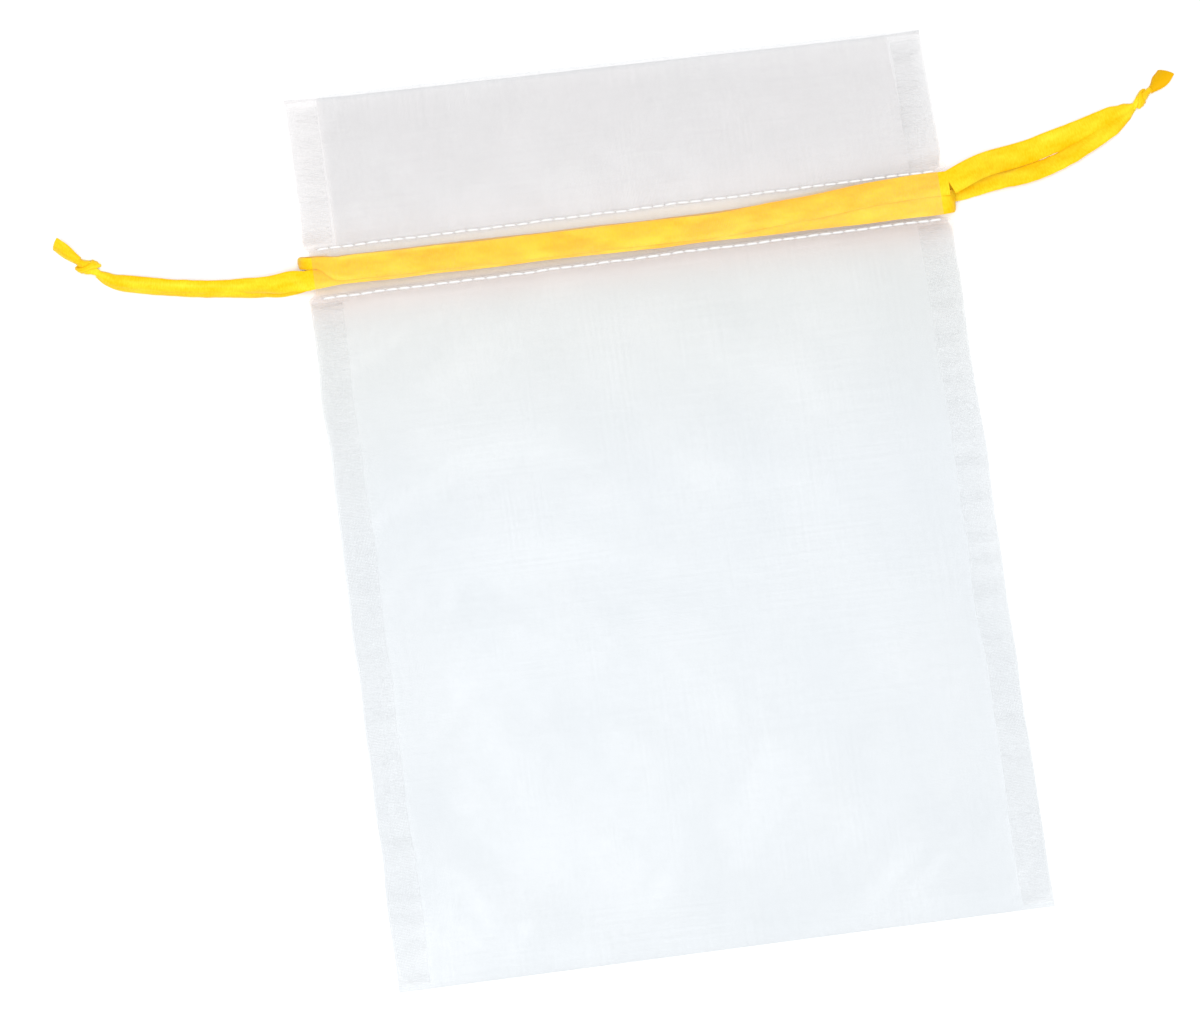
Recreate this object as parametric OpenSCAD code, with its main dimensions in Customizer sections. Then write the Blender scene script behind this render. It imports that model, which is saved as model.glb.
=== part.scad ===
// Drawstring gift pouch: a sheer cloth bag with a doubled header, a stitched
// casing and two ribbon drawstrings, one pulled from each side.
// It lies flat: X runs across it, +Y points to the mouth and +Z is up.
// The origin is the middle of its footprint, on the surface that it lies on.

/* [Pouch] */
// Width across the side seams
pouch_w = 130; // [110:1:150]
// Length from the bottom fold to the mouth
pouch_l = 180; // [160:1:220]
// Height of the front cloth over the fullest part of the body
body_rise = 10.5; // [9:0.5:14]

/* [Header and casing] */
// Depth of the header between the mouth and the upper casing stitches
header_l = 30; // [26:1:36]
// Distance between the two rows of casing stitches
casing_l = 10; // [9.6:0.2:12]
// Clear height inside the neck, between the front and back facings
neck_gap = 5.2; // [4.8:0.1:6]

/* [Cloth and thread] */
// Thickness of one layer of cloth
cloth_t = 0.2; // [0.15:0.01:0.25]
// Diameter of the casing thread
thread_d = 0.4; // [0.3:0.05:0.4]
// Width of the seam allowance turned in along each side
seam_w = 6; // [4:0.5:8]

/* [Ribbon] */
// Width of the satin ribbon
ribbon_w = 5; // [4:0.2:5]
// Thickness of the satin ribbon
ribbon_t = 0.25; // [0.2:0.01:0.3]

/* [Hidden] */

cloth_colour = "WhiteSmoke";
thread_colour = "White";
ribbon_colour = "Gold";

half_w = pouch_w / 2;
half_l = pouch_l / 2;
upper_y = half_l - header_l;
lower_y = upper_y - casing_l;
casing_y = (upper_y + lower_y) / 2;
half_casing = casing_l / 2;

// Heights through the casing, from the table up. Each ribbon has a level of
// its own, so that one can slide past the other.
layer_gap = 0.06;
side_gap = 0.15;
level_gap = 0.2;
tunnel_h = 2 * ribbon_t + 2 * side_gap + level_gap;
back_outer_z = cloth_t + side_gap;
back_inner_z = back_outer_z + ribbon_t + level_gap;
back_facing_z = cloth_t + tunnel_h;
front_facing_z = back_facing_z + cloth_t + neck_gap;
front_inner_z = front_facing_z + cloth_t + side_gap;
front_outer_z = front_inner_z + ribbon_t + level_gap;
front_top_z = front_facing_z + 2 * cloth_t + tunnel_h;
neck_mid_z = front_top_z / 2;
// How far each layer is drawn in at a row of stitches, so that two meet
pinch_depth = (tunnel_h - layer_gap) / 2;

// The cloth's ends at the casing stand back, and leave the ribbons' way out
casing_inset = 2;
// A hem turned in below the lower stitches
hem_tail = 0.8;
// The groove that a row of stitches lies in, and the tunnel wall beside it,
// measured from the row
groove_d = 0.25;
wall_d = 0.6;

// The ribbons' places across the casing, and where their strands turn
ribbon_shift = 1.3;
loop_reach = 1.25;
narrow_w = 2.4;
stitch_end = half_w - casing_inset - 1;

// Bottom fold
fold_z = 0.6;
fold_r = 0.4;
mouth_r = (cloth_t + layer_gap) / 2;

// Stations across the width, closer together towards the side seams
cross_steps = 20;
stations = [for (i = [0:cross_steps]) sin(90 * (2 * i / cross_steps - 1))];

// Rows along the length
body_top_y = lower_y - 3.6;
body_rows = [
    for (i = [0:10]) -half_l + 0.8 + (body_top_y + half_l - 0.8) * pow(i / 10, 1.4)
];
casing_rows = [
    for (d = [-hem_tail, -groove_d, groove_d, wall_d]) lower_y + d,
    casing_y,
    for (d = [wall_d, groove_d, -groove_d]) upper_y - d
];
header_rows = [for (d = [2.2, 4.4, 12, 20, 26]) upper_y + (header_l - 1) * d / 27];
facing_rows = [each casing_rows, each header_rows];

// Free ribbon routes, from the way out of the casing to the knot
left_front_route = [
    [-half_w, casing_y - ribbon_shift, front_inner_z + ribbon_t / 2],
    [-68, 53.3, 6.7], [-71, 53, 5.5], [-74, 52.8, 4.1], [-77, 52.8, 2.8],
    [-80, 52.9, 1.7], [-84, 53.2, 0.95], [-88, 53.7, 0.8], [-92, 54.3, 0.75],
    [-96, 55.1, 0.75], [-100, 56, 0.8], [-103, 57.1, 0.95], [-105.9, 59.1, 1.4]
];
left_back_route = [
    [-half_w, casing_y - ribbon_shift, back_inner_z + ribbon_t / 2],
    [-68, 52.9, 0.6], [-71, 52.2, 0.35], [-75, 51.8, 0.2],
    [-80, 52, 0.2], [-84, 52.4, 0.2], [-88, 52.9, 0.2], [-92, 53.6, 0.2],
    [-96, 54.4, 0.2], [-100, 55.5, 0.2], [-103, 56.7, 0.4], [-105.9, 58.9, 0.95]
];
right_front_route = [
    [half_w, casing_y + ribbon_shift, front_outer_z + ribbon_t / 2],
    [68, 57.6, 7.2], [71, 58.9, 6.1], [74, 60, 4.7], [77, 60.8, 3.3],
    [80, 61.5, 2.2], [84, 62.4, 1.3], [88, 63.5, 0.9], [92, 64.5, 0.75],
    [96, 65.6, 0.75], [100, 66.7, 0.85], [103, 67.6, 1], [106.4, 69.1, 1.5]
];
right_back_route = [
    [half_w, casing_y + ribbon_shift, back_outer_z + ribbon_t / 2],
    [68, 56, 0.35], [72, 56.2, 0.2], [76, 56.7, 0.2], [80, 57.2, 0.2],
    [84, 57.9, 0.2], [88, 58.9, 0.2], [92, 60.3, 0.2], [96, 62.1, 0.2],
    [100, 64.2, 0.2], [103, 66.2, 0.4], [106.4, 68.8, 0.95]
];
left_tail_route = [
    [-109.2, 61.9, 1.2], [-110.8, 63.2, 0.9], [-112.5, 64.7, 0.6], [-114.4, 66.4, 0.3]
];
right_tail_route = [
    [110.2, 71.9, 1.2], [111.4, 73, 0.9], [112.8, 74.4, 0.6], [114, 75.9, 0.3]
];
left_knot_at = [-107.6, 60.5, 1.75];
right_knot_at = [108.2, 70.4, 1.75];
left_knot_turn = 140;
right_knot_turn = 40;
tail_step = [0, 0, 0.45];

// Shape functions

function smooth(t) = let (c = max(0, min(1, t))) c * c * (3 - 2 * c);
function mix(a, b, t) = a + (b - a) * t;

// 1 on a row of casing stitches, 0 a little away from it
function pinch(y) =
    let (d = abs(y - casing_y) - half_casing)
    d < 0 ? smooth((d + wall_d) / (wall_d - groove_d)) : 1 - smooth((d - groove_d) / 3);

// 1 across the casing, 0 away from it
function in_casing(y) =
    1 - smooth((abs(y - casing_y) - half_casing - 0.6) / 3);

// How far the front cloth has risen at a share u of the half width
function crown_share(u) = sqrt(max(0, 1 - pow(abs(u), 4)));

// How far the back cloth has left the table at a share u of the half width
function curl_share(u) = pow(max(0, (abs(u) - 0.72) / 0.28), 2.5);

function seam_z(y) = mix(fold_z, neck_mid_z, smooth((y + 70) / 110));

// Half the stack of layers at a side seam: two below the casing, four above
function half_stack(y) =
    mix(0.01 + cloth_t, 0.01 + 2 * cloth_t + layer_gap, smooth((y - lower_y + 4) / 3));

// Height of the front cloth along the middle
function crown_z(y) =
    y > -10 ? mix(body_rise, front_top_z, smooth((y + 10) / (body_top_y + 10)))
            : mix(2 * fold_z, body_rise, pow(sin(90 * (y + half_l) / (half_l - 10)), 0.8));

function half_width(y) =
    half_w - casing_inset * (abs(y - casing_y) < half_casing ? 1 : 0);

// Outer surface of the front cloth and of the back cloth
function front_z(u, y) =
    let (edge_z = seam_z(y) + half_stack(y))
    let (pillow = mix(edge_z, crown_z(y), crown_share(u)))
    mix(pillow, front_top_z, in_casing(y)) - pinch_depth * pinch(y);
function back_z(u, y) =
    (seam_z(y) - half_stack(y)) * curl_share(u) * (1 - in_casing(y)) + pinch_depth * pinch(y);

// Mid-surfaces of the outer layer and of the facing
function front_outer(u, y) = front_z(u, y) - cloth_t / 2;
function back_outer(u, y) = back_z(u, y) + cloth_t / 2;
function facing_step(y) =
    abs(y - casing_y) < half_casing
        ? cloth_t + layer_gap + 2 * pinch_depth * (1 - pinch(y))
        : cloth_t + layer_gap;
function front_facing(u, y) = front_outer(u, y) - facing_step(y);
function back_facing(u, y) = back_outer(u, y) + facing_step(y);

// One panel's way from the bottom fold, up the outer layer, over the mouth and
// down the facing: points [y, z] at a share u of the half width
function fold_path(u, side) =
    let (r = 0.11 + fold_r * crown_share(u))
    [for (a = [0, 40, 75]) [-half_l + cloth_t / 2 + r * (1 - cos(a)), fold_z + side * r * sin(a)]];
function mouth_path(outer_z, facing_z) =
    [for (a = [30, 90, 150])
        [half_l - cloth_t / 2 - mouth_r * (1 - sin(a)),
         (outer_z + facing_z) / 2 + (outer_z - facing_z) / 2 * cos(a)]];
function front_path(u) = [
    each fold_path(u, 1),
    for (y = body_rows) [y, front_outer(u, y)],
    for (y = facing_rows) [y, front_outer(u, y)],
    each mouth_path(front_outer(u, half_l), front_facing(u, half_l)),
    for (i = [len(facing_rows) - 1:-1:0])
        [facing_rows[i], front_facing(u, facing_rows[i])]
];
function back_path(u) = [
    each fold_path(u, -1),
    for (y = body_rows) [y, back_outer(u, y)],
    for (y = facing_rows) [y, back_outer(u, y)],
    each mouth_path(back_outer(u, half_l), back_facing(u, half_l)),
    for (i = [len(facing_rows) - 1:-1:0])
        [facing_rows[i], back_facing(u, facing_rows[i])]
];

// Sheet of cloth: each path is offset to both sides by half a layer
function unit(v) = v / norm(v);
function path_side(path, k) =
    let (last = len(path) - 1)
    let (along = unit(path[min(k + 1, last)] - path[max(k - 1, 0)]))
    k == 0 ? [0, 0] : [-along[1], along[0]];
function offset_path(path, first_side, d) = [
    for (k = [0:len(path) - 1])
        path[k] + d * (k == 0 ? first_side : path_side(path, k))
];

module cloth_sheet(paths, first_side) {
    rows = len(paths[0]);
    points = [
        for (d = [-cloth_t / 2, cloth_t / 2])
            for (i = [0:cross_steps])
                for (p = offset_path(paths[i], first_side, d))
                    [stations[i] * half_width(p[0]), p[0], p[1]]
    ];
    grid_faces(points, cross_steps + 1, rows);
}

// Closed solid between two grids of the same size, listed one after the other
module grid_faces(points, across, rows) {
    size = across * rows;
    function at(i, k, side) = side * size + i * rows + k;
    quads = [
        for (i = [0:across - 2])
            for (k = [0:rows - 2])
                for (side = [0, 1])
                    let (q = [at(i, k, side), at(i + 1, k, side),
                              at(i + 1, k + 1, side), at(i, k + 1, side)])
                    side == 0 ? [q[0], q[3], q[2], q[1]] : q,
        for (i = [0:across - 2])
            for (k = [0, rows - 1])
                let (q = [at(i, k, 0), at(i + 1, k, 0), at(i + 1, k, 1), at(i, k, 1)])
                k == 0 ? q : [q[3], q[2], q[1], q[0]],
        for (k = [0:rows - 2])
            for (i = [0, across - 1])
                let (q = [at(i, k, 0), at(i, k + 1, 0), at(i, k + 1, 1), at(i, k, 1)])
                i == 0 ? [q[3], q[2], q[1], q[0]] : q
    ];
    faces = [for (q = quads) each [[q[2], q[1], q[0]], [q[3], q[2], q[0]]]];
    polyhedron(points = points, faces = faces, convexity = 10);
}

// Cloth

module front_panel() {
    color(cloth_colour)
        cloth_sheet([for (u = stations) front_path(u)], [-1, 0]);
}

module back_panel() {
    color(cloth_colour)
        mirrored_sheet([for (u = stations) back_path(u)]);
}

// The back cloth's path runs the other way round, so its sides swap over
module mirrored_sheet(paths) {
    flipped = [for (path = paths) [for (p = path) [p[0], -p[1]]]];
    mirror([0, 0, 1])
        cloth_sheet(flipped, [-1, 0]);
}

// Seam allowance turned in along a side, lying on the back cloth, from the
// side seam inwards
module side_seam(side, from_y, to_y, floor_step) {
    columns = [for (i = [0:3]) half_w - 1.4 - seam_w * i / 3];
    row_count = max(3, round((to_y - from_y) / 9));
    rows = [for (k = [0:row_count]) from_y + (to_y - from_y) * k / row_count];
    points = [
        for (lift = [0, 0.3])
            for (x = (side > 0 ? columns : [for (i = [3:-1:0]) columns[i]]))
                for (y = rows)
                    [side * x, y, back_z(x / half_w, y) + floor_step + side_gap + lift]
    ];
    color(thread_colour)
        mirror([1, 0, 0])
            grid_faces([for (p = points) [-p[0], p[1], p[2]]], 4, len(rows));
}

module left_body_seam() { side_seam(-1, -half_l + 8, lower_y - 4, cloth_t); }
module right_body_seam() { side_seam(1, -half_l + 8, lower_y - 4, cloth_t); }
module left_header_seam() { side_seam(-1, upper_y + 4, half_l - 2, 2 * cloth_t + layer_gap); }
module right_header_seam() { side_seam(1, upper_y + 4, half_l - 2, 2 * cloth_t + layer_gap); }

// Casing thread

module stitch_row(y, z) {
    color(thread_colour)
        translate([-stitch_end, y, z])
            rotate([0, 90, 0])
                cylinder(d = thread_d, h = 2 * stitch_end, $fn = 24);
}

stitch_step = pinch_depth - thread_d / 2 - 0.02;
module front_upper_stitches() { stitch_row(upper_y, front_top_z - stitch_step); }
module front_lower_stitches() { stitch_row(lower_y, front_top_z - stitch_step); }
module back_upper_stitches() { stitch_row(upper_y, stitch_step); }
module back_lower_stitches() { stitch_row(lower_y, stitch_step); }

// Ribbon inside the casing: a front strand, a turn round the far edge and a
// back strand. The strands end where the free pulls start.
module drawstring(side, back_z, front_z, centre_y, turn_y, turn_w) {
    mid_r = (front_z - back_z) / 2;
    turn_x = half_w + loop_reach - mid_r - ribbon_t / 2;
    strand_l = half_w + turn_x;
    color(ribbon_colour)
        translate([side * turn_x, 0, 0])
            mirror([side > 0 ? 0 : 1, 0, 0]) {
                for (z = [back_z, front_z])
                    translate([0, 0, z])
                        linear_extrude(ribbon_t)
                            strand_outline(strand_l, centre_y, turn_y, turn_w);
                translate([0, turn_y + turn_w / 2, (back_z + front_z + ribbon_t) / 2])
                    rotate([90, 0, 0])
                        rotate([0, 0, -90])
                            rotate_extrude(angle = 180, $fn = 64)
                                translate([mid_r - ribbon_t / 2, 0])
                                    square([ribbon_t, turn_w]);
            }
}

// Plan of a strand that runs from the turn at x = 0 towards -x
module strand_outline(strand_l, centre_y, turn_y, turn_w) {
    lower = centre_y - ribbon_w / 2;
    upper = centre_y + ribbon_w / 2;
    polygon([
        [-strand_l, lower], [-6, lower],
        [-1, turn_y - turn_w / 2], [0, turn_y - turn_w / 2],
        [0, turn_y + turn_w / 2], [-1, turn_y + turn_w / 2],
        [-6, upper], [-strand_l, upper]
    ]);
}

module left_drawstring() {
    centre_y = casing_y - ribbon_shift;
    drawstring(1, back_inner_z, front_inner_z, centre_y, centre_y, ribbon_w);
}

// Its turn is folded narrow, so that it passes beside the other ribbon
module right_drawstring() {
    centre_y = casing_y + ribbon_shift;
    turn_y = centre_y + (ribbon_w - narrow_w) / 2;
    drawstring(-1, back_outer_z, front_outer_z, centre_y, turn_y, narrow_w);
}

// Free ribbon: a flat eight-sided section swept along a route
function ribbon_ring(at, along, w) =
    let (across = unit(cross([0, 0, 1], along)))
    let (up = unit(cross(along, across)))
    [for (p = [[1, 0], [0.9, 1], [0, 1], [-0.9, 1], [-1, 0], [-0.9, -1], [0, -1], [0.9, -1]])
        at + across * p[0] * w / 2 + up * p[1] * ribbon_t / 2];

module free_ribbon(route, start_w, middle_w, end_w) {
    last = len(route) - 1;
    rings = [
        for (k = [0:last])
            let (along = unit(route[min(k + 1, last)] - route[max(k - 1, 0)]))
            let (level = k == 0 ? [along[0] > 0 ? 1 : -1, 0, 0] : along)
            let (w = k < 3 ? mix(start_w, middle_w, k / 3)
                           : mix(end_w, middle_w, min(1, (last - k) / 3)))
            ribbon_ring(route[k], level, w)
    ];
    faces = [
        for (j = [1:6])
            each [[0, j, j + 1], [last * 8, last * 8 + j + 1, last * 8 + j]],
        for (k = [0:last - 1])
            for (j = [0:7])
                each [[k * 8 + j, (k + 1) * 8 + (j + 1) % 8, k * 8 + (j + 1) % 8],
                      [k * 8 + j, (k + 1) * 8 + j, (k + 1) * 8 + (j + 1) % 8]]
    ];
    color(ribbon_colour)
        polyhedron(points = [for (ring = rings) each ring], faces = faces, convexity = 4);
}

module left_pull_front() { free_ribbon(left_front_route, ribbon_w, 3.6, 1.6); }
module left_pull_back() { free_ribbon(left_back_route, ribbon_w, 3.6, 1.6); }
module right_pull_front() { free_ribbon(right_front_route, ribbon_w, 4.6, 1.6); }
module right_pull_back() { free_ribbon(right_back_route, ribbon_w, 3.6, 1.6); }

// The two tails of a pull lie one on the other
module tails(route, end_w) {
    for (step = [0, 1])
        free_ribbon([for (p = route) p + step * tail_step], 1.6, (1.6 + end_w) / 2, end_w);
}

module left_tails() { tails(left_tail_route, 2.4); }
module right_tails() { tails(right_tail_route, 3.8); }

// Overhand knot: a core along the ribbon with one turn wrapped round it
module knot(at, turn) {
    color(ribbon_colour)
        translate(at)
            rotate([0, 0, turn]) {
                hull()
                    for (x = [-1, 0, 1])
                        translate([2 * x, 0, -0.35 * abs(x)])
                            sphere(r = 1.25 - 0.55 * abs(x), $fn = 24);
                rotate([0, 90, 25])
                    rotate_extrude($fn = 32)
                        translate([1.1, 0])
                            circle(r = 0.55, $fn = 20);
            }
}

module left_knot() { knot(left_knot_at, left_knot_turn); }
module right_knot() { knot(right_knot_at, right_knot_turn); }

front_panel();
back_panel();
front_upper_stitches();
front_lower_stitches();
back_upper_stitches();
back_lower_stitches();
left_body_seam();
right_body_seam();
left_header_seam();
right_header_seam();
left_drawstring();
right_drawstring();
left_pull_front();
left_pull_back();
left_knot();
left_tails();
right_pull_front();
right_pull_back();
right_knot();
right_tails();
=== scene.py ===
"""Looks of the drawstring gift pouch: sheer organza cloth, stitched casing, and two yellow satin
drawstrings. Lengths are in millimetres until a mesh is made; the frame itself is in metres."""

import math

import bpy
import numpy as np
from mathutils import Matrix, Vector


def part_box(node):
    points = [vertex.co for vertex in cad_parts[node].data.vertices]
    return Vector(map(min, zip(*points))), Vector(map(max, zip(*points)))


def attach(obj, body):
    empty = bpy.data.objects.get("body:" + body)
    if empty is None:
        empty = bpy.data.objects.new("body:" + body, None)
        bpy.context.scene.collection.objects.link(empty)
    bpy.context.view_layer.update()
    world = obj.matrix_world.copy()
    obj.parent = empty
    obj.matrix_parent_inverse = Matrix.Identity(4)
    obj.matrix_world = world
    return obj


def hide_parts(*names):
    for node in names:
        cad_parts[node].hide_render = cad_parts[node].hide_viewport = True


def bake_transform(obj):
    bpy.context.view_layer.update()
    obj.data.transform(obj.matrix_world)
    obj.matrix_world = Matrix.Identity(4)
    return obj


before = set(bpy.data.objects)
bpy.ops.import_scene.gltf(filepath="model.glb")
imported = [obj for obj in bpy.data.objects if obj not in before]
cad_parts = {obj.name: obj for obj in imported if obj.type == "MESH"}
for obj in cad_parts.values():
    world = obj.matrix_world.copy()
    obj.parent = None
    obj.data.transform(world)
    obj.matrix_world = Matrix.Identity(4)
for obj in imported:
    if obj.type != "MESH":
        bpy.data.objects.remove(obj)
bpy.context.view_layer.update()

MM = 0.001
SIDES = {"left": -1, "right": 1}
rng = np.random.default_rng(18)


def span(node):
    """Lowest and highest corner of a CAD node in millimetres."""
    low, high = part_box(node)
    return np.array(low) / MM, np.array(high) / MM


# Driving sizes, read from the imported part
HALF_W, HALF_L, BODY_RISE = span("front_panel")[1]
UPPER_Y = float(np.mean([c[1] for c in span("front_upper_stitches")]))
LOWER_Y = float(np.mean([c[1] for c in span("front_lower_stitches")]))
CASING_Y = (UPPER_Y + LOWER_Y) / 2
HALF_CASING = (UPPER_Y - LOWER_Y) / 2
BACK_INNER, FRONT_INNER = [c[2] for c in span("left_drawstring")]
BACK_OUTER, FRONT_OUTER = [c[2] for c in span("right_drawstring")]

# Ribbon
RIBBON_T = 0.25
RIBBON_W = 5.0
DULL_SIDE = 10.0  # how far the dull face lies beside the satin face in the ribbon's own coordinates
LEFT_Y = 54.25  # middle of the left ribbon in the casing
GATHERED = 0.85  # half of what the left ribbon's upper edge gives way to the right one's loop
LOOP_Y, LOOP_W = 56.6, 2.4  # middle and width of the right ribbon's loop
LOWEST = 0.08  # nothing of a ribbon lies closer to the table

# Cloth. Keys 1 and -1 are the right and the left, or the front and the back
CLOTH_T = 0.2  # thickness of one layer
LAYER_GAP = 0.06  # between two layers that are sewn together
SIDE_GAP = 0.15  # between a ribbon and the cloth round it
FRONT_TOP = FRONT_OUTER + SIDE_GAP + CLOTH_T
NECK_MID = FRONT_TOP / 2
TUNNEL_H = FRONT_OUTER - FRONT_INNER + RIBBON_T + 2 * SIDE_GAP
PINCH = (TUNNEL_H - LAYER_GAP) / 2  # how far a row of stitches draws each layer in
BODY_TOP_Y = LOWER_Y - 3.6
FOLD_Z = 0.6  # height of the bottom fold
MOUTH_Z = 3.4  # height of the mouth
CASING_INSET = {-1: 1.2, 1: 2.0}  # how far the cloth's edge stands back across the casing
HEM_TAIL = 0.35  # facing that runs on past the lower stitches
SEAM_W = 6.0  # width of the seam allowances
FACING_STOP = {-1: 0.7, 1: 1.4}  # how far short of the header's seam allowances the front facing stops
SKEW = 0.013  # slope of the casing
SLIPS = {1: 2.0, -1: 0.0}  # how far the front and the back of the casing have slid towards the bottom

# Colour of the light that comes through between the threads of one layer of cloth. Those next to and over
# the ribbons hold painted light: a warm glow from the yellow ribbons, and painted shade over the ribbons'
# upper part.
GAPS_LOW = np.array([0.895, 0.905, 0.913])
GAPS_TOP = np.array([0.891, 0.897, 0.896])
GAPS_HEADER = np.array([0.915, 0.918, 0.922])
GAPS_PAINTED_GLOW_BELOW_RIBBONS = np.array([1.0, 0.93, 0.82])
GAPS_PAINTED_GLOW_ABOVE_RIBBONS = np.array([1.0, 0.975, 0.92])
GAPS_OVER_RIBBON_LOWER_PAINTED_LIGHT = np.array([1.0, 0.95, 0.85])
GAPS_OVER_RIBBON_UPPER_PAINTED_SHADE = np.array([1.0, 0.87, 0.62])
GAPS_CLEAR = np.array([1.0, 0.991, 0.989])
GAPS_PAINTED_RIBBON_GLOW = np.array([1.0, 0.89, 0.885])
GAPS_SEAM = np.array([0.99, 0.99, 0.99])


# ---------------------------------------------------------------- shape of the cloth

def smooth(t):
    t = np.clip(t, 0, 1)
    return t * t * (3 - 2 * t)


def mix(a, b, t):
    return a + (b - a) * t


def wobble(t, wavelength, seed):
    """Irregular wave of height about 1: a few sines of nearby wavelengths with seeded phases."""
    local = np.random.default_rng(seed)
    total = 0
    for stretch in (0.62, 0.8, 1.0, 1.33, 1.9):
        total = total + np.sin(2 * np.pi * t / (wavelength * stretch) + local.uniform(0, 2 * np.pi))
    return total / 2.2


def pinch(y):
    """1 on a row of casing stitches, 0 a little away from it."""
    d = np.abs(y - CASING_Y) - HALF_CASING
    return np.where(d < 0, smooth((d + 0.7) / 0.6), 1 - smooth((d - 0.1) / 3))


def in_casing(y):
    return 1 - smooth((np.abs(y - CASING_Y) - HALF_CASING - 0.6) / 3)


def crown_share(u):
    return np.sqrt(np.maximum(0, 1 - np.abs(u) ** 4))


def droop(y):
    """0 at the casing, 1 at the mouth, where the limp header comes down towards the back."""
    return smooth((y - UPPER_Y - 3) / (HALF_L - UPPER_Y - 5))


def seam_z(y):
    return mix(mix(FOLD_Z, NECK_MID, smooth((y + 70) / 110)), MOUTH_Z / 2, droop(y))


def crown_z(y):
    rise = np.sin(np.clip((y + HALF_L) / (HALF_L - 10), 0, 1) * np.pi / 2) ** 0.8
    low = mix(2 * FOLD_Z, BODY_RISE, rise)
    high = mix(BODY_RISE, FRONT_TOP, smooth((y + 10) / (BODY_TOP_Y + 10)))
    return mix(np.where(y > -10, high, low), MOUTH_Z, droop(y))


def half_width(side, y):
    """The cloth's edge. It stands back across the casing, where the ribbons come out."""
    d = np.abs(y - CASING_Y) - HALF_CASING
    return HALF_W - CASING_INSET[side] * (1 - smooth((d + 0.5) / 1.0))


def free_window(y):
    """0 at the bottom fold, the casing and the mouth, 1 away from them."""
    casing = smooth((np.abs(y - CASING_Y) - HALF_CASING - 1) / 9)
    return casing * smooth((y + HALF_L) / 8) * mix(0.35, 1, smooth((HALF_L - y) / 10))


def edge_share(x, reach):
    return np.exp(-(((HALF_W - np.abs(x)) / reach) ** 2))


def seam_pucker(x, y):
    side_seed = np.where(x < 0, 0.0, 1.0)
    wave = mix(wobble(y, 7.5, 3), wobble(y, 8.5, 4), side_seed)
    patch = 0.5 + 0.5 * mix(wobble(y, 45, 5), wobble(y, 38, 6), side_seed)
    return 0.42 * wave * np.clip(patch, 0.1, 1) * edge_share(x, 6)


def casing_pucker(x, y):
    """Little ripples that run away from the rows of stitches."""
    d = np.abs(y - CASING_Y) - HALF_CASING
    outside = np.exp(-np.maximum(d, 0) / 5)
    ripple = 0.55 * wobble(x, 5.5, 8) + 0.45 * wobble(x + 0.2 * y, 9, 9)
    return 0.24 * ripple * outside * np.where(d > 0, 1, 0.35)


def sway(x, y, slip=0):
    """The casing was sewn slightly askew, and the side edges aren't quite straight. slip is how far
    the casing has slid towards the bottom."""
    near = 1 - smooth((np.abs(y - CASING_Y) - HALF_CASING) / 22)
    edge = 0.16 * mix(wobble(y, 26, 11), wobble(y, 31, 12), np.where(x < 0, 0.0, 1.0))
    end = np.exp(-(((HALF_L - np.abs(y)) / 6) ** 2))
    across = edge * edge_share(x, 14) * (1 - near) * (1 - end)
    along = (SKEW * x - slip) * near
    along += 0.05 * wobble(x, 34, 13) * near * smooth((HALF_W - np.abs(x)) / 10)
    return across, along


def front_shape(x, y):
    """Height of the front cloth's outer layer before it settles."""
    u = np.clip(np.abs(x) / HALF_W, 0, 1)
    pillow = mix(seam_z(y) + 0.03, crown_z(y) - CLOTH_T / 2, crown_share(u))
    return mix(pillow, FRONT_TOP - CLOTH_T / 2, in_casing(y)) - PINCH * pinch(y)


def back_shape(x, y):
    u = np.clip(np.abs(x) / HALF_W, 0, 1)
    curl = np.maximum(0, (u - 0.72) / 0.28) ** 2.5
    lifted = (seam_z(y) - 0.03 - CLOTH_T / 2) * curl * (1 - in_casing(y))
    return CLOTH_T / 2 + lifted + PINCH * pinch(y)


def facing_step(y):
    inside = np.abs(y - CASING_Y) < HALF_CASING
    return CLOTH_T + LAYER_GAP + np.where(inside, 2 * PINCH * (1 - pinch(y)), 0)


# ---------------------------------------------------------------- settling the front cloth

SIM_SCALE = 0.01  # a simulation unit is 100 mm, so that the solver works at a size it is made for
SIM_COLUMNS, SIM_ROWS = 59, 83
SIM_STEPS = 26


def sim_grid():
    x = np.linspace(-HALF_W, HALF_W, SIM_COLUMNS)
    y = np.linspace(-HALF_L, HALF_L, SIM_ROWS)
    return x, y


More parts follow.
